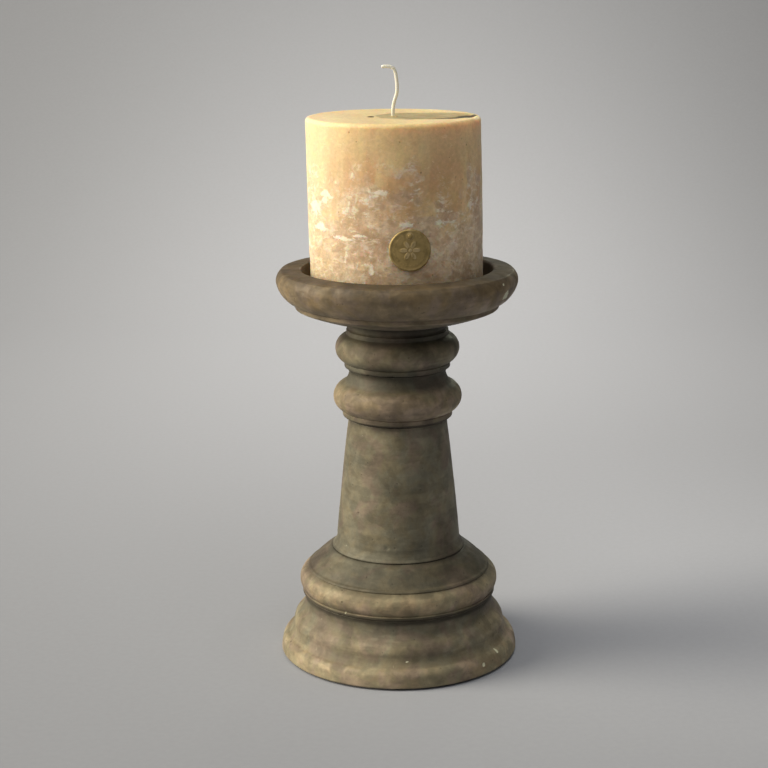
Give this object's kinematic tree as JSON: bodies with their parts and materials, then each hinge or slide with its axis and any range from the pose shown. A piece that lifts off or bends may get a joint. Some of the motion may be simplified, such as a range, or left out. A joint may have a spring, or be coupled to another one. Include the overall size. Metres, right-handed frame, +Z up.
{
  "type": "pillar candle holder",
  "caption": "Turned pedestal holder with a wide dish and a pricket for one thick pillar candle, standing on a stepped round foot.",
  "frame": {"origin": "on the turning axis, on the surface that the felt stands on", "axes": "+Z up along the turning axis; -Y towards the side that carries the medallion"},
  "size_m": [0.1418, 0.1418, 0.3494],
  "materials": {
    "felt": "dark pressed felt",
    "dark_wood": "turned wood with a worn brown and grey-green stained wash, matt to satin",
    "pale_wood": "turned wood with a worn tan wash on its crests and dark grime in its grooves, satin",
    "zinc_steel": "dull zinc plating",
    "pricket_steel": "blackened steel",
    "wax": "mottled tan candle wax with pale crystalline scuffs, satin",
    "wick_braid": "waxed cotton braid",
    "aged_brass": "dark aged brass"
  },
  "bodies": {
    "holder": {"base_felt": "felt", "foot": "dark_wood", "base_ring": "pale_wood", "column": "dark_wood", "lower_collar": "pale_wood", "upper_collar": "pale_wood", "dish": "dark_wood", "tie_rod": "zinc_steel", "base_washer": "zinc_steel", "base_nut": "zinc_steel", "pricket": "pricket_steel"},
    "candle": {"candle_wax": "wax", "wick": "wick_braid", "medallion": "aged_brass", "medallion_pin": "aged_brass"}
  },
  "joints": [
    {"name": "candle_lift", "type": "slide", "parent": "holder", "child": "candle", "axis": [0, 0, 1], "range_m": [0, 0.06]}
  ]
}
